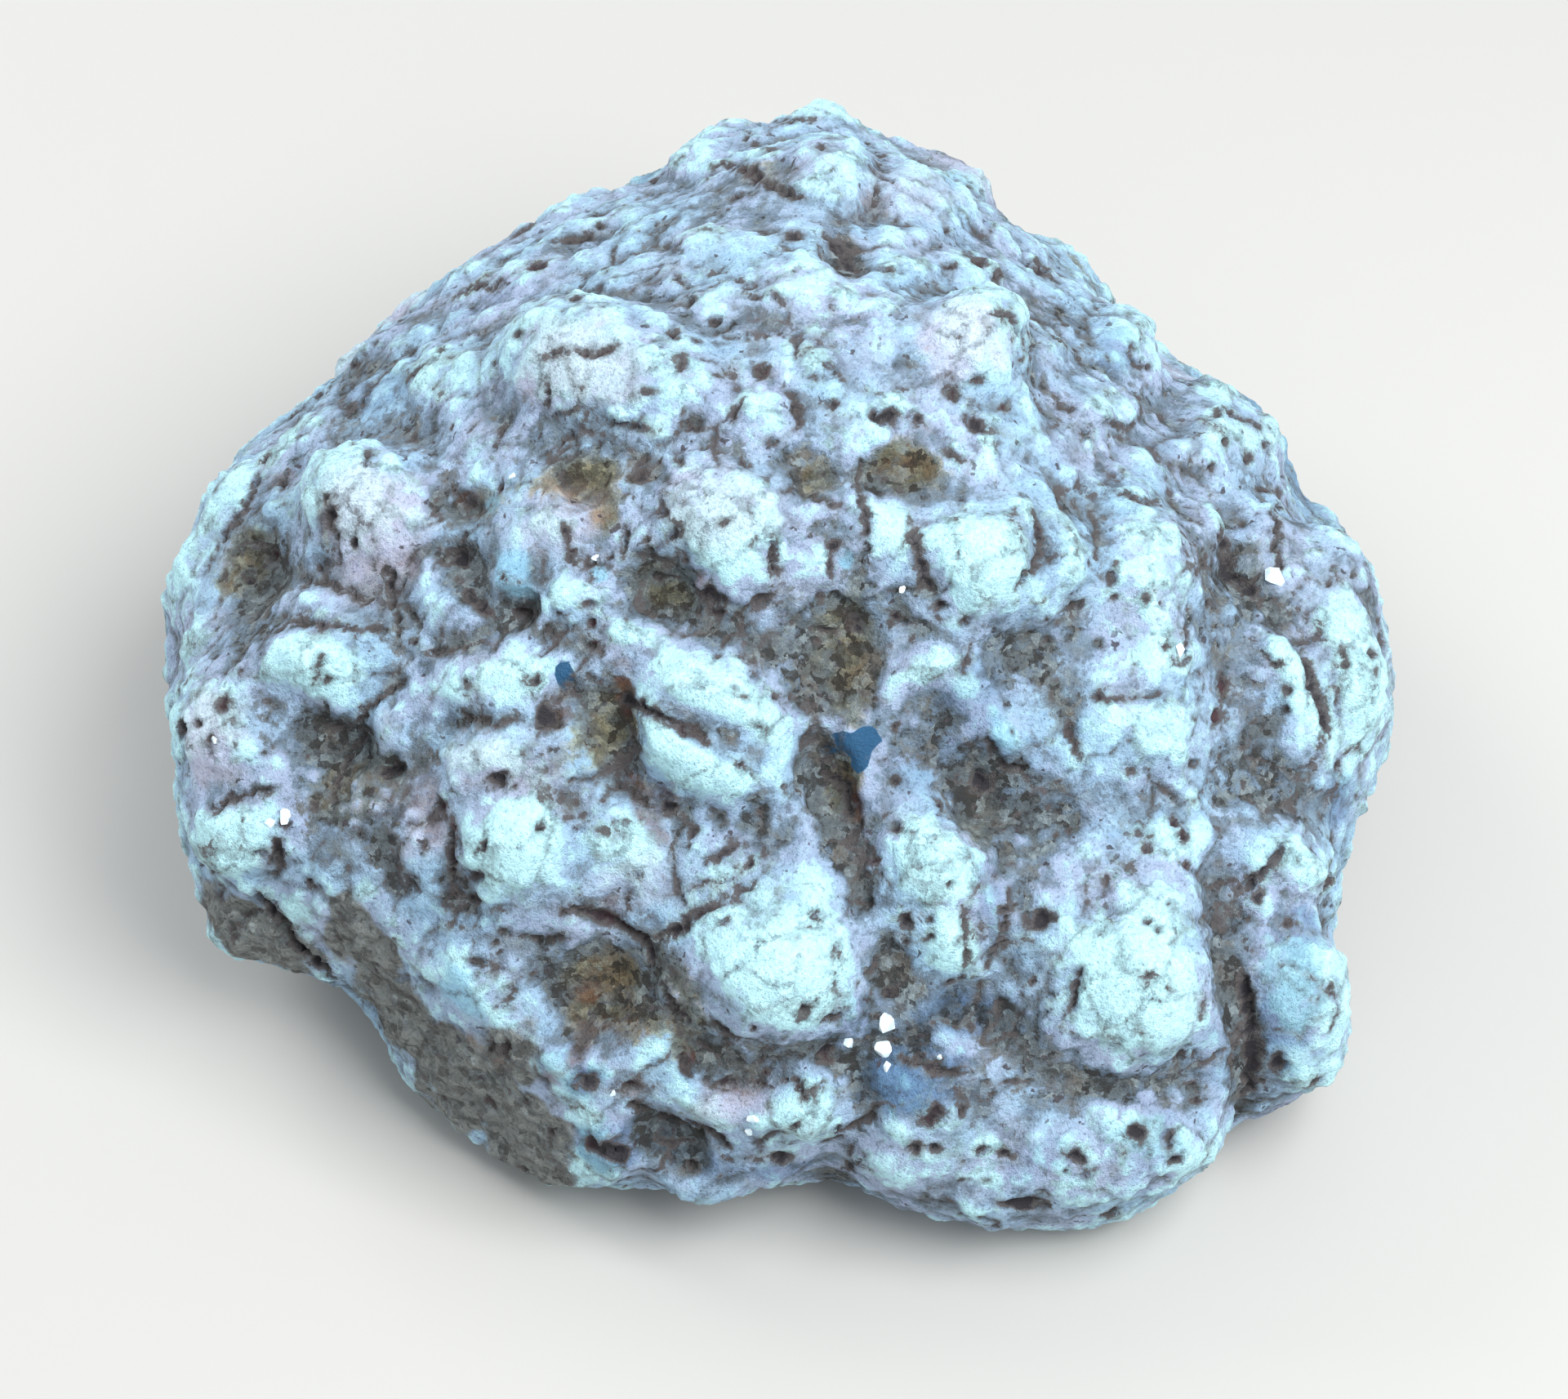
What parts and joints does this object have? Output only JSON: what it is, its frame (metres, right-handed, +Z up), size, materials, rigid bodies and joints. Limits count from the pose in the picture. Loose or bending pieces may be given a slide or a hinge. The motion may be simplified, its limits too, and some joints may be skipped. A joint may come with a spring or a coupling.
{
  "type": "quartz geode",
  "caption": "Closed, knobbly quartz geode: a wide low dome of rounded crust lumps with a steep broken face, lying on a small flat spot.",
  "frame": {"origin": "centre of the bounding box at its base, on the plane that the stone lies on", "axes": "+Z up; -Y towards the side that the picture looks at from above; +X to the picture's right"},
  "size_m": [0.1556, 0.157, 0.0861],
  "materials": {
    "chalcedony_crust": "rough, slightly waxy crust"
  },
  "bodies": {
    "root": {"geode": "chalcedony_crust"}
  },
  "joints": []
}
